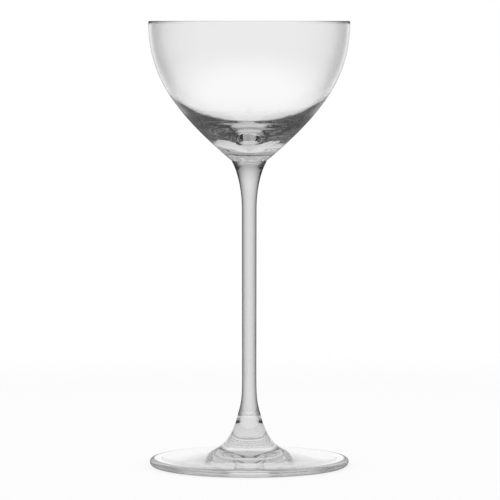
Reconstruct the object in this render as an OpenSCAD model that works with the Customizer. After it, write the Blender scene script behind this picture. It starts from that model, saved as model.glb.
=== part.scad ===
// Small stemmed cocktail glass: a blown bowl with a solid base, a drawn stem and a round foot,
// all turned about one upright axis and fused end to end.

/* [Overall] */
// Height of the glass, from the table to the rim
glass_h = 175; // [155:1:200]

/* [Bowl] */
// Outside diameter at the rim
rim_d = 79; // [66:0.2:92]
// Height of the bowl, from its joint with the stem to the rim
bowl_h = 54.7; // [46:0.1:64]
// Thickness of the blown wall
wall_t = 0.85; // [0.6:0.05:1.6]
// Outside diameter at the joint of the bowl and the stem
neck_d = 13.9; // [11:0.1:17]
// Angle of the bowl's side from the axis, just above the joint
cone_a = 49.6; // [43:0.1:56]
// Depth by which the well sinks below the round bottom of the inside
well_h = 2; // [0:0.05:3.5]
// Radius over which the well fades into the round bottom
well_r = 7.1; // [5:0.1:10]

/* [Stem] */
// Height over which the neck narrows from the joint with the bowl to the stem
neck_h = 19.3; // [13:0.1:28]
// Angle of the neck from the axis, just below the joint with the bowl
neck_a = 31; // [22:0.1:40]
// Diameter of the stem just below the neck
stem_top_d = 5.75; // [4.6:0.05:7.6]
// Diameter of the stem just above its swelling
stem_d = 5.6; // [4.5:0.05:6.8]
// Height of the swelling, down to the joint with the foot
swell_h = 18.1; // [11:0.1:26]
// Angle of the glass from the axis at the joint with the foot
swell_a = 15.5; // [8:0.5:24]

/* [Foot] */
// Diameter of the foot
foot_d = 78.4; // [68:0.2:90]
// Height of the joint with the stem above the table
joint_h = 20; // [16:0.1:26]
// Diameter at the joint with the stem
joint_d = 9.1; // [8.2:0.1:12]
// Diameter at which the flare runs out onto the disc
hub_d = 32.2; // [26:0.2:42]
// Height of the disc's upper side where the flare runs out
hub_h = 5.9; // [5:0.1:8]
// Slope of the disc's upper side where the flare runs out
hub_a = 8.5; // [5:0.5:12]
// Thickness of the disc at its edge
edge_t = 3.15; // [2.4:0.05:4.4]
// Slope of the disc's upper side at its edge
edge_a = 4.8; // [0:0.2:7]
// Height of the widest point of the edge above the table
nose_h = 1.8; // [1:0.05:2.2]
// Width of the rounding above the widest point
upper_round_w = 1.5; // [0.8:0.05:2.4]
// Width of the rounding below the widest point
lower_round_w = 2.1; // [1:0.05:3]
// Width of the flat ring on which the glass rests
rest_w = 2.75; // [1.5:0.05:5]
// Rise of the hollow underside at its centre
kick_h = 2.35; // [0.4:0.05:3]

/* [Hidden] */
$fn = 180;

// Shares of the bowl's height that its outline holds the upright of the rim and the slope at the joint
upright_share = 0.37;
cone_share = 0.565;
// Share of the outline's run at which the wall ends and the ball-shaped bottom of the inside begins
ball_share = 0.493;
// Shares of the neck's height that its curve holds the slope at the joint and the line of the stem
neck_slope_share = 0.18;
neck_stem_share = 0.49;
// Shares of the swelling's height that its curve holds the line of the stem and the slope at the joint
swell_stem_share = 0.66;
swell_joint_share = 0.32;
// Shares of the flare's height and width that its curve holds the slopes at its two ends
flare_joint_share = 0.645;
flare_hub_share = 0.51;
// Shares of the disc's width that its upper side holds the slopes at its two ends
disc_hub_share = 0.31;
disc_edge_share = 0.28;
// Shares of the underside's radius that its curve lies level at the ring and at the centre
dish_ring_share = 0.13;
dish_mid_share = 0.48;

// Steps along the curves of the outlines
long_steps = 40;
short_steps = 16;

rim_r = rim_d / 2;
neck_r = neck_d / 2;
stem_top_r = stem_top_d / 2;
stem_r = stem_d / 2;
joint_r = joint_d / 2;
hub_r = hub_d / 2;
foot_r = foot_d / 2;
rim_round_r = wall_t / 2;
rim_z = glass_h - rim_round_r;
neck_z = glass_h - bowl_h;
neck_end_z = neck_z - neck_h;
swell_z = joint_h + swell_h;

// Unit vector at an angle from straight down, turned away from the axis
function outward(angle) = [sin(angle), -cos(angle)];

// Unit vector at an angle below level, pointing away from the axis
function level(angle) = [cos(angle), -sin(angle)];

// Point at a share t of the run of a cubic curve with four control points
function curve_at(c, t) =
    pow(1 - t, 3) * c[0] + 3 * pow(1 - t, 2) * t * c[1]
    + 3 * (1 - t) * pow(t, 2) * c[2] + pow(t, 3) * c[3];

// Direction of the curve at a share t of its run, as a unit vector
function curve_dir(c, t) =
    let (d = pow(1 - t, 2) * (c[1] - c[0]) + 2 * (1 - t) * t * (c[2] - c[1])
             + pow(t, 2) * (c[3] - c[2]))
    d / norm(d);

// Points along the curve from one share of its run to another, both ends included
function curve_run(c, from, to, steps) =
    [for (i = [0 : steps]) curve_at(c, from + (to - from) * i / steps)];

// Points on a quarter or less of an ellipse, from one angle to another
function round_run(centre, w, h, from, to, steps) =
    [for (i = [0 : steps])
        let (a = from + (to - from) * i / steps)
        centre + [w * cos(a), h * sin(a)]];

// A run of points without its first one, which the run before it already holds
function after_first(points) = [for (i = [1 : len(points) - 1]) points[i]];

// Outside of the bowl, from the rim down to the joint with the stem
bowl_curve = [
    [rim_r, rim_z],
    [rim_r, rim_z - upright_share * bowl_h],
    [neck_r, neck_z] - cone_share * bowl_h * outward(-cone_a),
    [neck_r, neck_z]
];

// Outside of the neck, from the joint with the bowl down to the straight stem
neck_curve = [
    [neck_r, neck_z],
    [neck_r, neck_z] + neck_slope_share * neck_h * outward(-neck_a),
    [stem_top_r, neck_end_z + neck_stem_share * neck_h],
    [stem_top_r, neck_end_z]
];

// Outside of the stem's swelling, from the straight stem down to the joint with the foot
swell_curve = [
    [stem_r, swell_z],
    [stem_r, swell_z - swell_stem_share * swell_h],
    [joint_r, joint_h] - swell_joint_share * swell_h * outward(swell_a),
    [joint_r, joint_h]
];

// Upper side of the foot: the flare from the joint out to the disc, then the disc to its edge
flare_curve = [
    [joint_r, joint_h],
    [joint_r, joint_h] + flare_joint_share * (joint_h - hub_h) * outward(swell_a),
    [hub_r, hub_h] - flare_hub_share * (hub_r - joint_r) * level(hub_a),
    [hub_r, hub_h]
];
upper_round_h = edge_t - nose_h;
upper_round_centre = [foot_r - upper_round_w, nose_h];
upper_round_from = 90 - atan(tan(edge_a) * upper_round_w / upper_round_h);
upper_round = round_run(upper_round_centre, upper_round_w, upper_round_h, upper_round_from, 0, short_steps);
disc_w = upper_round[0][0] - hub_r;
disc_curve = [
    [hub_r, hub_h],
    [hub_r, hub_h] + disc_hub_share * disc_w * level(hub_a),
    upper_round[0] - disc_edge_share * disc_w * level(edge_a),
    upper_round[0]
];
lower_round_centre = [foot_r - lower_round_w, nose_h];
lower_round = round_run(lower_round_centre, lower_round_w, nose_h, 0, -90, short_steps);

// Underside of the foot, from the rest ring in to the axis
dish_r = foot_r - lower_round_w - rest_w;
dish_curve = [
    [dish_r, 0],
    [dish_r - dish_ring_share * dish_r, 0],
    [dish_mid_share * dish_r, kick_h],
    [0, kick_h]
];

// Point on the inside of the wall, one wall thickness in from the outside at share t of its run
function wall_inside(t) =
    let (d = curve_dir(bowl_curve, t))
    curve_at(bowl_curve, t) - wall_t * [-d[1], d[0]];

// The ball that closes the inside touches the wall where the wall ends, and its centre is on the axis
ball_dir = curve_dir(bowl_curve, ball_share);
ball_from = wall_inside(ball_share);
ball_r = ball_from[0] / -ball_dir[1];
ball_centre = [0, ball_from[1] - ball_r * ball_dir[0]];
ball_angle = asin(ball_dir[0]);

// Point of the inside with the well sunk into it
function sunk(p) = [p[0], p[1] - well_h * exp(-pow(p[0] / well_r, 2))];

// Inside of the bowl, from the lowest point on the axis up to the rim
ball_run = round_run(ball_centre, ball_r, ball_r, -90, ball_angle, long_steps);
bowl_bottom = sunk(ball_centre - [0, ball_r]);
bowl_inside = concat(
    [bowl_bottom],
    [for (p = after_first(ball_run)) sunk(p)],
    after_first([for (i = [0 : long_steps]) wall_inside(ball_share * (1 - i / long_steps))])
);
rim_centre = [rim_r - rim_round_r, rim_z];
rim_round = round_run(rim_centre, rim_round_r, rim_round_r, 180, 0, short_steps);

// Blown bowl, thin in the wall and solid below the inside
module bowl() {
    color([0.86, 0.93, 0.95, 0.4])
        rotate_extrude()
            polygon(concat(
                curve_run(bowl_curve, 0, 1, long_steps),
                [[0, neck_z]],
                bowl_inside,
                [for (i = [1 : short_steps - 1]) rim_round[i]]
            ));
}

// Drawn stem: the neck under the bowl, the slim rod and the swelling down to the joint with the foot
module stem() {
    color([0.8, 0.9, 0.93, 0.5])
        rotate_extrude()
            polygon(concat(
                [[0, neck_z]],
                curve_run(neck_curve, 0, 1, long_steps),
                curve_run(swell_curve, 0, 1, long_steps),
                [[0, joint_h]]
            ));
}

// Foot: a flare that spreads into a thin disc with a rounded edge and a hollow underside
module foot() {
    color([0.83, 0.91, 0.94, 0.45])
        rotate_extrude()
            polygon(concat(
                [[0, joint_h]],
                curve_run(flare_curve, 0, 1, long_steps),
                after_first(curve_run(disc_curve, 0, 1, short_steps)),
                after_first(upper_round),
                after_first(lower_round),
                curve_run(dish_curve, 0, 1, long_steps)
            ));
}

bowl();
stem();
foot();
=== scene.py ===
# Small stemmed cocktail glass: bowl, stem and foot, each turned from its outline in clear glass
import math

import bpy
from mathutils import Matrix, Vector


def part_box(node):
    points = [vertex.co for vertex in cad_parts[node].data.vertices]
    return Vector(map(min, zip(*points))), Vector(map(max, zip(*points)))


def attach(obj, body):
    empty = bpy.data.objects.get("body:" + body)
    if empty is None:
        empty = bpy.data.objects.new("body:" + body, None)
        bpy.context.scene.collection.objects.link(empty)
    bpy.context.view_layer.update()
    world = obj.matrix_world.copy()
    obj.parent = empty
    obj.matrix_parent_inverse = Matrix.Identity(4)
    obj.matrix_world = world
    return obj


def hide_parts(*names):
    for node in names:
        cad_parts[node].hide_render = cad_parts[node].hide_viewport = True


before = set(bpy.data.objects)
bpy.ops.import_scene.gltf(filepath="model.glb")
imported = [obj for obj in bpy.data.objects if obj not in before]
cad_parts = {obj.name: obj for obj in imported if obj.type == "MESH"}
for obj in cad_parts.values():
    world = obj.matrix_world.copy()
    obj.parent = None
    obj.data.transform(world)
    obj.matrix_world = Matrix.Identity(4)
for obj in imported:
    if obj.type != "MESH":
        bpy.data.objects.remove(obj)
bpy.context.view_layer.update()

# All sizes are in metres; MM turns the maker's millimetres into them
MM = 0.001

# Places that the frame gives
bowl_low, bowl_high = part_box("bowl")
stem_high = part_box("stem")[1]
foot_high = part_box("foot")[1]
GLASS_H = bowl_high.z
RIM_R = bowl_high.x
NECK_Z = bowl_low.z
NECK_R = stem_high.x
JOINT_Z = foot_high.z
FOOT_R = foot_high.x
BOWL_H = GLASS_H - NECK_Z

# Bowl: wall, slope of its side at the joint with the stem, ball-shaped bottom of the inside and its well
WALL_T = 0.85 * MM
BOWL_SLOPE = math.radians(49.6)
UPRIGHT_SHARE = 0.37
BOWL_SLOPE_SHARE = 0.565
BALL_SHARE = 0.493
WELL_H = 2 * MM
WELL_R = 7.1 * MM

# Stem: neck under the bowl, slim rod, swelling above the joint with the foot
NECK_H = 19.3 * MM
NECK_SLOPE = math.radians(31)
NECK_SLOPE_SHARE = 0.18
NECK_ROD_SHARE = 0.49
ROD_TOP_R = 2.875 * MM
ROD_LOW_R = 2.8 * MM
SWELL_H = 18.1 * MM
SWELL_SLOPE = math.radians(15.5)
SWELL_ROD_SHARE = 0.66
SWELL_SLOPE_SHARE = 0.32
JOINT_R = 4.55 * MM

# Foot: flare, disc, rounded edge, rest ring and hollow underside
FLARE_JOINT_SHARE = 0.645
FLARE_HUB_SHARE = 0.51
HUB_R = 16.1 * MM
HUB_Z = 5.9 * MM
HUB_SLOPE = math.radians(8.5)
DISC_HUB_SHARE = 0.31
DISC_EDGE_SHARE = 0.28
EDGE_T = 3.15 * MM
EDGE_SLOPE = math.radians(4.8)
NOSE_Z = 1.8 * MM
UPPER_ROUND_W = 1.5 * MM
LOWER_ROUND_W = 2.1 * MM
REST_W = 2.75 * MM
KICK_H = 2.35 * MM
DISH_RING_SHARE = 0.13
DISH_MID_SHARE = 0.48

# Gap between neighbouring pieces at a hot seal, too thin to see, and how near a seal still counts as seal
SEAL_GAP = 0.02 * MM
SEAL_REACH = SEAL_GAP / 4

# Fineness of the turned pieces: steps round the axis and along long and short stretches of an outline
AROUND = 360
LONG_STEPS = 80
SHORT_STEPS = 24
ROUND_STEPS = 12
MERGE_DISTANCE = 0.0005 * MM
SMOOTH_ANGLE = math.radians(30)

# Glass: how strongly it bends light, the near-black of the painted shade at an outline, and Layer Weight's
# even setting
GLASS_INDEX = 1.52
PAINTED_SHADE_GREY = 0.02
EVEN_BLEND = 0.5

# How much light each piece keeps at its surface, a painted grey that on the stem is painted shade for the
# grey seen through it, how fast it dims along its way, and how deep its waves are
BOWL_PAINTED_GREY = 1.0
BOWL_DIMMING = 12.0
BOWL_WAVES = 0.9 * MM
STEM_PAINTED_GREY = 0.78
STEM_DIMMING = 3.0
STEM_WAVES = 0.03 * MM
FOOT_PAINTED_GREY = 1.0
FOOT_DIMMING = 5.0
FOOT_WAVES = 0.03 * MM

# Waves: how close together they lie, how much closer along the axis, and where they end up the solid base
WAVE_SCALE = 75.0
WAVE_DETAIL = 0.5
WAVE_SQUEEZE = 4.0
WAVE_HIGH_Z = NECK_Z + 10.7 * MM
WAVE_END_Z = NECK_Z + 16.7 * MM

# Sideways distance from the base's outer cone over which the inside of the bowl turns into its outside
OUTSIDE_START = -3.2 * MM
OUTSIDE_END = -2.2 * MM

# Painted shade as a dark line at the outline of the bowl's wall, strongest from its low height down, and at
# the rim
WALL_LOW_Z = NECK_Z + 19.7 * MM
WALL_HIGH_Z = GLASS_H - 7 * MM
WALL_LINE = 0.75
WALL_LINE_POWER = 8.0
RIM_LOW_Z = GLASS_H - 1.5 * MM
RIM_HIGH_Z = GLASS_H - 0.5 * MM
RIM_LINE = 1.0
RIM_LINE_POWER = 2.0

# Wide painted shade at the sides of the solid base, between two heights, with the stretches that it fades
# over
BASE_LOW_Z = NECK_Z + 3.7 * MM
BASE_LOW_END_Z = NECK_Z + 9.7 * MM
BASE_HIGH_Z = NECK_Z + 17.7 * MM
BASE_HIGH_END_Z = NECK_Z + 27.7 * MM
BASE_SHADE = 0.9
BASE_POWER = 2.0

# Painted shade at the sides of the stem, and a painted dark line at its outline
STEM_SIDE_POWER = 1.2
STEM_LINE = 1.0
STEM_LINE_POWER = 3.0

# Painted shade at the sides of the flare, above the disc, and a painted dark line round the disc's edge
FLARE_START_Z = 6 * MM
FLARE_END_Z = 12 * MM
FOOT_SIDE_POWER = 0.15
EDGE_START_R = FOOT_R - 2.4 * MM
EDGE_END_R = FOOT_R - 1.2 * MM
FOOT_LINE = 0.8
FOOT_LINE_POWER = 2.0

# Studio: how often light may turn before it is lost, and the softer glow of what lies more steeply up
LIGHT_BOUNCES = 32
UPPER_GLOW = 0.6
UPPER_START = 0.15
UPPER_END = 0.6

# Glow that light turned back inside the glass finds at the sides, and where the back and the top begin,
# as the parts of its direction that point backward and up
SIDE_GLOW = 0.02
BACK_START = 0.74
BACK_END = 0.93
STEEP_START = 0.5
STEEP_END = 0.8

# Floor: round, pale, partly lit by itself, fading away from the glass
FLOOR_R = 1.0
FLOOR_SIDES = 128
FLOOR_GREY = 0.97
FLOOR_WHITE = 0.75
FLOOR_FADE_START = 120 * MM
FLOOR_FADE_END = 500 * MM

# Camera: level with the rim, aimed at the middle of the glass; sensor and lens in millimetres
CAMERA_BACK = 1375.2 * MM
CAMERA_AIM = Vector((0.31 * MM, 0, 85.2 * MM))
CAMERA_SENSOR = 36
CAMERA_LENS = 252.5


def outward(angle):
    """Unit step at an angle from straight down, turned away from the axis."""
    return Vector((math.sin(angle), -math.cos(angle)))


def level(angle):
    """Unit step at an angle below level, pointing away from the axis."""
    return Vector((math.cos(angle), -math.sin(angle)))


def curve_at(curve, t):
    """Point at a share t of the run of a cubic curve with four control points."""
    a, b, c, d = curve
    u = 1 - t
    return u ** 3 * a + 3 * u * u * t * b + 3 * u * t * t * c + t ** 3 * d


def curve_direction(curve, t):
    """Unit direction of the curve at a share t of its run."""
    a, b, c, d = curve
    u = 1 - t
    return (u * u * (b - a) + 2 * u * t * (c - b) + t * t * (d - c)).normalized()


def curve_run(curve, steps):
    """Points along the whole curve, both ends included."""
    return [curve_at(curve, i / steps) for i in range(steps + 1)]


def round_run(centre, width, height, start, end, steps):
    """Points along a quarter or less of an ellipse, from one angle to another."""
    angles = [start + (end - start) * i / steps for i in range(steps + 1)]
    return [centre + Vector((width * math.cos(a), height * math.sin(a))) for a in angles]


def bowl_outline():
    """Section of the bowl: down the outside, in across the seal, up the inside and round the rim."""
    rim_round = WALL_T / 2
    rim = Vector((RIM_R, GLASS_H - rim_round))
    joint = Vector((NECK_R, NECK_Z))
    outside = [
        rim,
        rim - Vector((0, UPRIGHT_SHARE * BOWL_H)),
        joint - BOWL_SLOPE_SHARE * BOWL_H * outward(-BOWL_SLOPE),
        joint,
    ]

    def wall_inside(t):
        step = curve_direction(outside, t)
        return curve_at(outside, t) + WALL_T * Vector((step.y, -step.x))

    def sunk(point):
        return point - Vector((0, WELL_H * math.exp(-((point.x / WELL_R) ** 2))))

    touch = wall_inside(BALL_SHARE)
    touch_step = curve_direction(outside, BALL_SHARE)
    ball_r = touch.x / -touch_step.y
    ball_centre = Vector((0, touch.y - ball_r * touch_step.x))
    ball = round_run(ball_centre, ball_r, ball_r, -math.pi / 2, math.asin(touch_step.x), LONG_STEPS)
    wall = [wall_inside(BALL_SHARE * (1 - i / SHORT_STEPS)) for i in range(1, SHORT_STEPS + 1)]
    rim_centre = rim - Vector((rim_round, 0))
    rim_run = round_run(rim_centre, rim_round, rim_round, math.pi, 0, ROUND_STEPS)
    seal = Vector((0, NECK_Z))
    return curve_run(outside, LONG_STEPS) + [seal] + [sunk(p) for p in ball] + wall + rim_run[1:]


def stem_outline():
    """Section of the stem: from the upper seal down the neck, the rod and the swelling to the lower seal."""
    top = Vector((NECK_R, NECK_Z - SEAL_GAP))
    rod_top_z = NECK_Z - NECK_H
    swell_z = JOINT_Z + SWELL_H
    low = Vector((JOINT_R, JOINT_Z + SEAL_GAP))
    neck = [
        top,
        top + NECK_SLOPE_SHARE * NECK_H * outward(-NECK_SLOPE),
        Vector((ROD_TOP_R, rod_top_z + NECK_ROD_SHARE * NECK_H)),
        Vector((ROD_TOP_R, rod_top_z)),
    ]
    swelling = [
        Vector((ROD_LOW_R, swell_z)),
        Vector((ROD_LOW_R, swell_z - SWELL_ROD_SHARE * SWELL_H)),
        low - SWELL_SLOPE_SHARE * SWELL_H * outward(SWELL_SLOPE),
        low,
    ]
    rod = [neck[3].lerp(swelling[0], i / LONG_STEPS) for i in range(1, LONG_STEPS)]
    upper_seal = Vector((0, top.y))
    lower_seal = Vector((0, low.y))
    return (
        [upper_seal]
        + curve_run(neck, LONG_STEPS)
        + rod
        + curve_run(swelling, SHORT_STEPS)
        + [lower_seal]
    )


def foot_outline():
    """Section of the foot: down the flare, out over the disc, round the edge and in under the hollow."""
    joint = Vector((JOINT_R, JOINT_Z))
    hub = Vector((HUB_R, HUB_Z))
    flare = [
        joint,
        joint + FLARE_JOINT_SHARE * (JOINT_Z - HUB_Z) * outward(SWELL_SLOPE),
        hub - FLARE_HUB_SHARE * (HUB_R - JOINT_R) * level(HUB_SLOPE),
        hub,
    ]
    round_h = EDGE_T - NOSE_Z
    round_start = math.pi / 2 - math.atan(math.tan(EDGE_SLOPE) * UPPER_ROUND_W / round_h)
    upper_centre = Vector((FOOT_R - UPPER_ROUND_W, NOSE_Z))
    upper = round_run(upper_centre, UPPER_ROUND_W, round_h, round_start, 0, ROUND_STEPS)
    disc_w = upper[0].x - HUB_R
    disc = [
        hub,
        hub + DISC_HUB_SHARE * disc_w * level(HUB_SLOPE),
        upper[0] - DISC_EDGE_SHARE * disc_w * level(EDGE_SLOPE),
        upper[0],
    ]
    lower_centre = Vector((FOOT_R - LOWER_ROUND_W, NOSE_Z))
    lower = round_run(lower_centre, LOWER_ROUND_W, NOSE_Z, 0, -math.pi / 2, ROUND_STEPS)
    dish_r = lower_centre.x - REST_W
    dish = [
        Vector((dish_r, 0)),
        Vector((dish_r - DISH_RING_SHARE * dish_r, 0)),
        Vector((DISH_MID_SHARE * dish_r, KICK_H)),
        Vector((0, KICK_H)),
    ]
    return (
        [Vector((0, JOINT_Z))]
        + curve_run(flare, LONG_STEPS)
        + curve_run(disc, SHORT_STEPS)[1:]
        + upper[1:]
        + lower[1:]
        + curve_run(dish, LONG_STEPS)
    )


def turned(name, outline):
    """Traces the outline from a point, edge by edge, and turns it about the upright axis."""
    bpy.ops.object.select_all(action="DESELECT")
    bpy.ops.mesh.primitive_plane_add(size=MM, location=(0, 0, 0))
    piece = bpy.context.object
    piece.name = piece.data.name = name
    bpy.ops.object.mode_set(mode="EDIT")
    bpy.ops.mesh.select_all(action="SELECT")
    bpy.ops.mesh.merge(type="CENTER")
    place = outline[0]
    bpy.ops.transform.translate(value=(place.x, 0, place.y))
    for point in outline[1:]:
        step = point - place
        bpy.ops.mesh.extrude_region_move(TRANSFORM_OT_translate={"value": (step.x, 0, step.y)})
        place = point
    bpy.ops.object.mode_set(mode="OBJECT")
    bpy.ops.object.modifier_add(type="SCREW")
    turning = piece.modifiers[-1]
    turning.axis = "Z"
    turning.angle = math.tau
    turning.steps = turning.render_steps = AROUND
    turning.use_merge_vertices = True
    turning.merge_threshold = MERGE_DISTANCE
    bpy.ops.object.modifier_apply(modifier=turning.name)
    bpy.ops.object.mode_set(mode="EDIT")
    bpy.ops.mesh.select_all(action="SELECT")
    bpy.ops.mesh.remove_doubles(threshold=MERGE_DISTANCE)
    bpy.ops.mesh.normals_make_consistent(inside=False)
    bpy.ops.object.mode_set(mode="OBJECT")
    bpy.ops.object.shade_smooth_by_angle(angle=SMOOTH_ANGLE)
    return piece


class Shade:
    """A shader socket that takes part in sums, so that a pattern reads as a formula."""

    def __init__(self, tree, socket):
        self.tree = tree
        self.socket = socket

    def maths(self, operation, *values):
        return node(self.tree, "ShaderNodeMath", {"operation": operation}, values)

    def __add__(self, other):
        return self.maths("ADD", self, other)

    def __radd__(self, other):
        return self.maths("ADD", other, self)

    def __sub__(self, other):
        return self.maths("SUBTRACT", self, other)

    def __rsub__(self, other):
        return self.maths("SUBTRACT", other, self)

    def __mul__(self, other):
        return self.maths("MULTIPLY", self, other)

    def __rmul__(self, other):
        return self.maths("MULTIPLY", other, self)

    def __truediv__(self, other):
        return self.maths("DIVIDE", self, other)

    def __rtruediv__(self, other):
        return self.maths("DIVIDE", other, self)

    def __pow__(self, other):
        return self.maths("POWER", self, other)

    def __rpow__(self, other):
        return self.maths("POWER", other, self)

    def __abs__(self):
        return self.maths("ABSOLUTE", self)

    def __lt__(self, other):
        return self.maths("LESS_THAN", self, other)


def node(tree, kind, settings=None, values=(), output=0):
    """Adds a node of a kind, with its settings first and then the values or links of its sockets."""
    made = tree.nodes.new(kind)
    for key, value in (settings or {}).items():
        setattr(made, key, value)
    pairs = values.items() if isinstance(values, dict) else enumerate(values)
    for key, value in pairs:
        if isinstance(value, Shade):
            tree.links.new(value.socket, made.inputs[key])
        else:
            made.inputs[key].default_value = value
    return Shade(tree, made.outputs[output]) if made.outputs else None


def grey(share):
    """Colour that gives back the same share of red, green and blue."""
    return (share, share, share, 1)


def step_up(value, start, end):
    """Rises smoothly from 0 to 1 as the value goes from start to end."""
    settings = {"interpolation_type": "SMOOTHSTEP"}
    values = {"Value": value, "From Min": start, "From Max": end}
    return node(value.tree, "ShaderNodeMapRange", settings, values)


def larger(first, second):
    """The larger of two values."""
    return first.maths("MAXIMUM", first, second)


def along(vector, axis):
    """The part of a vector along one axis, X, Y or Z."""
    return node(vector.tree, "ShaderNodeSeparateXYZ", values=[vector], output=axis)


def stretched(vector, amounts):
    """A vector multiplied by an amount along each axis."""
    return node(vector.tree, "ShaderNodeVectorMath", {"operation": "MULTIPLY"}, [vector, amounts])


def length(vector):
    """Length of a vector."""
    return node(vector.tree, "ShaderNodeVectorMath", {"operation": "LENGTH"}, [vector], output="Value")


def ray(tree, kind):
    """What Light Path tells of the light, such as whether the camera sees it or how often it was turned."""
    return node(tree, "ShaderNodeLightPath", output=kind)


def mixed(factor, first, second):
    """The first surface where the factor is 0, the second where it is 1."""
    return node(factor.tree, "ShaderNodeMixShader", values=[factor, first, second])


def joined(first, second):
    """Share lost when two losses follow each other."""
    return first + second * (1 - first)


def new_material(name):
    """An empty material and its node tree."""
    material = bpy.data.materials.new(name)
    material.use_nodes = True
    material.node_tree.nodes.clear()
    return material, material.node_tree


def bowl_outside(height, reach):
    """1 on the outside of the solid base, 0 on the inside of the bowl."""
    past = reach - NECK_R - (height - NECK_Z) * math.tan(BOWL_SLOPE)
    return step_up(past, OUTSIDE_START, OUTSIDE_END)


def bowl_shade(facing, height, reach):
    """Painted shade: a thin dark line at the outline of the wall, wider and darker toward the solid base, and
    one at the rim.
    """
    lower = 1 - step_up(height, WALL_LOW_Z, WALL_HIGH_Z)
    line = facing ** WALL_LINE_POWER * (WALL_LINE + (1 - WALL_LINE) * lower)
    rim = facing ** RIM_LINE_POWER * RIM_LINE * step_up(height, RIM_LOW_Z, RIM_HIGH_Z)
    above_neck = step_up(height, BASE_LOW_Z, BASE_LOW_END_Z)
    below_wall = 1 - step_up(height, BASE_HIGH_Z, BASE_HIGH_END_Z)
    base = above_neck * below_wall * bowl_outside(height, reach)
    return joined(joined(line, rim), facing ** BASE_POWER * BASE_SHADE * base)


def stem_shade(facing, height, reach):
    """Painted shade: rod and neck darken smoothly to both sides, with a thin painted dark outline."""
    sides = 1 - (1 - facing) ** STEM_SIDE_POWER
    return joined(sides, facing ** STEM_LINE_POWER * STEM_LINE)


def foot_shade(facing, height, reach):
    """Painted shade: the flare darkens to its sides; the disc keeps only a thin painted dark line round its
    edge.
    """
    sides = (1 - (1 - facing) ** FOOT_SIDE_POWER) * step_up(height, FLARE_START_Z, FLARE_END_Z)
    line = facing ** FOOT_LINE_POWER * FOOT_LINE * step_up(reach, EDGE_START_R, EDGE_END_R)
    return joined(sides, line)


def base_waves(height, reach):
    """Waves on the outside of the bowl's solid base, none on the thin wall or inside."""
    return (1 - step_up(height, WAVE_HIGH_Z, WAVE_END_Z)) * bowl_outside(height, reach)


def even_waves(height, reach):
    """Waves everywhere on the piece."""
    return 1.0


def clear_glass(name, shade, wave_mask, waviness, painted_grey, dimming, seal_heights):
    """Clear, fire-polished glass that dims a little what is seen through a long way of it, with painted shade
    mixed in toward its outline.
    """
    material, tree = new_material(name)
    place = node(tree, "ShaderNodeTexCoord", output="Object")
    height = along(place, "Z")
    reach = length(stretched(place, (1.0, 1.0, 0.0)))

    # Slight waves of the surface
    squeezed = stretched(place, (1.0, 1.0, WAVE_SQUEEZE))
    noise = {"Vector": squeezed, "Scale": WAVE_SCALE, "Detail": WAVE_DETAIL}
    waves = node(tree, "ShaderNodeTexNoise", values=noise) * wave_mask(height, reach)
    wavy = node(tree, "ShaderNodeBump", values={"Strength": 1.0, "Distance": waviness, "Height": waves})
    # Base Color is a painted grey; on the stem it is painted shade for the grey seen through the rod
    glass = node(tree, "ShaderNodeBsdfPrincipled", values={
        "Base Color": grey(painted_grey),
        "Roughness": 0.0,
        "IOR": GLASS_INDEX,
        "Transmission Weight": 1.0,
        "Normal": wavy,
    })

    # Painted shade toward the outline: near-black mixed into the glass, only where light enters it
    facing = node(tree, "ShaderNodeLayerWeight", values={"Blend": EVEN_BLEND}, output="Facing")
    inside = node(tree, "ShaderNodeNewGeometry", output="Backfacing")
    dark = node(tree, "ShaderNodeBsdfDiffuse", values={"Color": grey(PAINTED_SHADE_GREY)})
    surface = mixed(shade(facing, height, reach) * (1 - inside), glass, dark)

    # At a hot seal there is no surface
    clear = node(tree, "ShaderNodeBsdfTransparent")
    for seal in seal_heights:
        surface = mixed(abs(height - seal) < SEAL_REACH, surface, clear)
    body = node(tree, "ShaderNodeVolumeAbsorption", values={"Color": grey(0.0), "Density": dimming})
    node(tree, "ShaderNodeOutputMaterial", values={"Surface": surface, "Volume": body})
    return material


def finish_piece(piece, cad_node, glass):
    """Gives a turned piece its glass and its place in the frame."""
    piece.data.materials.append(glass)
    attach(piece, "root")
    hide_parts(cad_node)


def blown_bowl():
    """Bowl, fused to the stem at its lower end."""
    piece = turned("blown_bowl", bowl_outline())
    seals = [NECK_Z]
    glass = clear_glass("bowl glass", bowl_shade, base_waves, BOWL_WAVES, BOWL_PAINTED_GREY, BOWL_DIMMING, seals)
    finish_piece(piece, "bowl", glass)


def drawn_stem():
    """Stem, fused to the bowl above and to the foot below."""
    piece = turned("drawn_stem", stem_outline())
    seals = [NECK_Z - SEAL_GAP, JOINT_Z + SEAL_GAP]
    glass = clear_glass("stem glass", stem_shade, even_waves, STEM_WAVES, STEM_PAINTED_GREY, STEM_DIMMING, seals)
    finish_piece(piece, "stem", glass)


def spun_foot():
    """Foot, fused to the stem at its top."""
    piece = turned("spun_foot", foot_outline())
    seals = [JOINT_Z]
    glass = clear_glass("foot glass", foot_shade, even_waves, FOOT_WAVES, FOOT_PAINTED_GREY, FOOT_DIMMING, seals)
    finish_piece(piece, "foot", glass)


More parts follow.
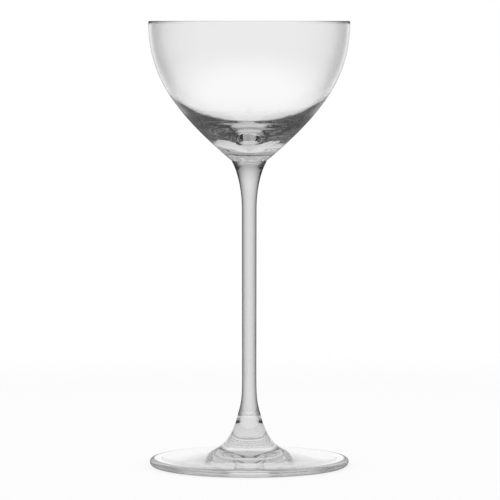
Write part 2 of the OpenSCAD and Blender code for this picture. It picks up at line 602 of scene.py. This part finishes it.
def studio():
    """White surroundings, softer in their upper half; light that the glass turned back is dimmer sideways."""
    world = bpy.data.worlds.new("studio")
    bpy.context.scene.world = world
    world.use_nodes = True
    tree = world.node_tree
    tree.nodes.clear()
    toward = node(tree, "ShaderNodeTexCoord", output="Generated")
    back = along(toward, "Y")
    up = along(toward, "Z")
    glow = 1 - (1 - UPPER_GLOW) * step_up(up, UPPER_START, UPPER_END)
    turns = ray(tree, "Glossy Depth")
    turned_back = turns.maths("MINIMUM", turns, 1.0)
    behind = step_up(back / (1 - up * up) ** 0.5, BACK_START, BACK_END)
    sideways = (1 - behind) * (1 - step_up(up, STEEP_START, STEEP_END))
    glow = glow * (1 - (1 - SIDE_GLOW) * (turned_back * sideways))
    white = larger(larger(glow, ray(tree, "Is Camera Ray")), ray(tree, "Is Diffuse Ray"))
    sky = node(tree, "ShaderNodeBackground", values={"Color": grey(1.0), "Strength": white})
    node(tree, "ShaderNodeOutputWorld", values={"Surface": sky})


def pale_floor():
    """Round pale floor under the glass that fades into the white surroundings."""
    bpy.ops.object.select_all(action="DESELECT")
    bpy.ops.mesh.primitive_circle_add(vertices=FLOOR_SIDES, radius=FLOOR_R, fill_type="NGON")
    floor = bpy.context.object
    floor.name = "floor"
    material, tree = new_material("pale floor")
    place = node(tree, "ShaderNodeTexCoord", output="Object")
    fade = step_up(length(place), FLOOR_FADE_START, FLOOR_FADE_END)
    seen = larger(ray(tree, "Is Camera Ray"), ray(tree, "Is Glossy Ray"))
    seen = larger(seen, ray(tree, "Is Transmission Ray"))
    matt = node(tree, "ShaderNodeBsdfDiffuse", values={"Color": grey(FLOOR_GREY)})
    white = node(tree, "ShaderNodeEmission", values={"Color": grey(1.0), "Strength": 1.0})
    clear = node(tree, "ShaderNodeBsdfTransparent")
    surface = mixed(fade, mixed(seen * FLOOR_WHITE, matt, white), clear)
    node(tree, "ShaderNodeOutputMaterial", values={"Surface": surface})
    floor.data.materials.append(material)


def aim_camera():
    """Camera at the photograph's place: level with the rim and tilted down to the middle of the glass."""
    data = bpy.data.cameras.new("camera")
    camera = bpy.data.objects.new("camera", data)
    bpy.context.scene.collection.objects.link(camera)
    camera.location = (0, -CAMERA_BACK, GLASS_H)
    camera.rotation_euler = (CAMERA_AIM - camera.location).to_track_quat("-Z", "Y").to_euler()
    data.sensor_width = CAMERA_SENSOR
    data.lens = CAMERA_LENS
    bpy.context.scene.camera = camera


aim_camera()
studio()
pale_floor()
blown_bowl()
drawn_stem()
spun_foot()

scene = bpy.context.scene
scene.view_settings.view_transform = "Standard"
scene.cycles.max_bounces = LIGHT_BOUNCES
scene.cycles.glossy_bounces = LIGHT_BOUNCES
scene.cycles.transmission_bounces = LIGHT_BOUNCES
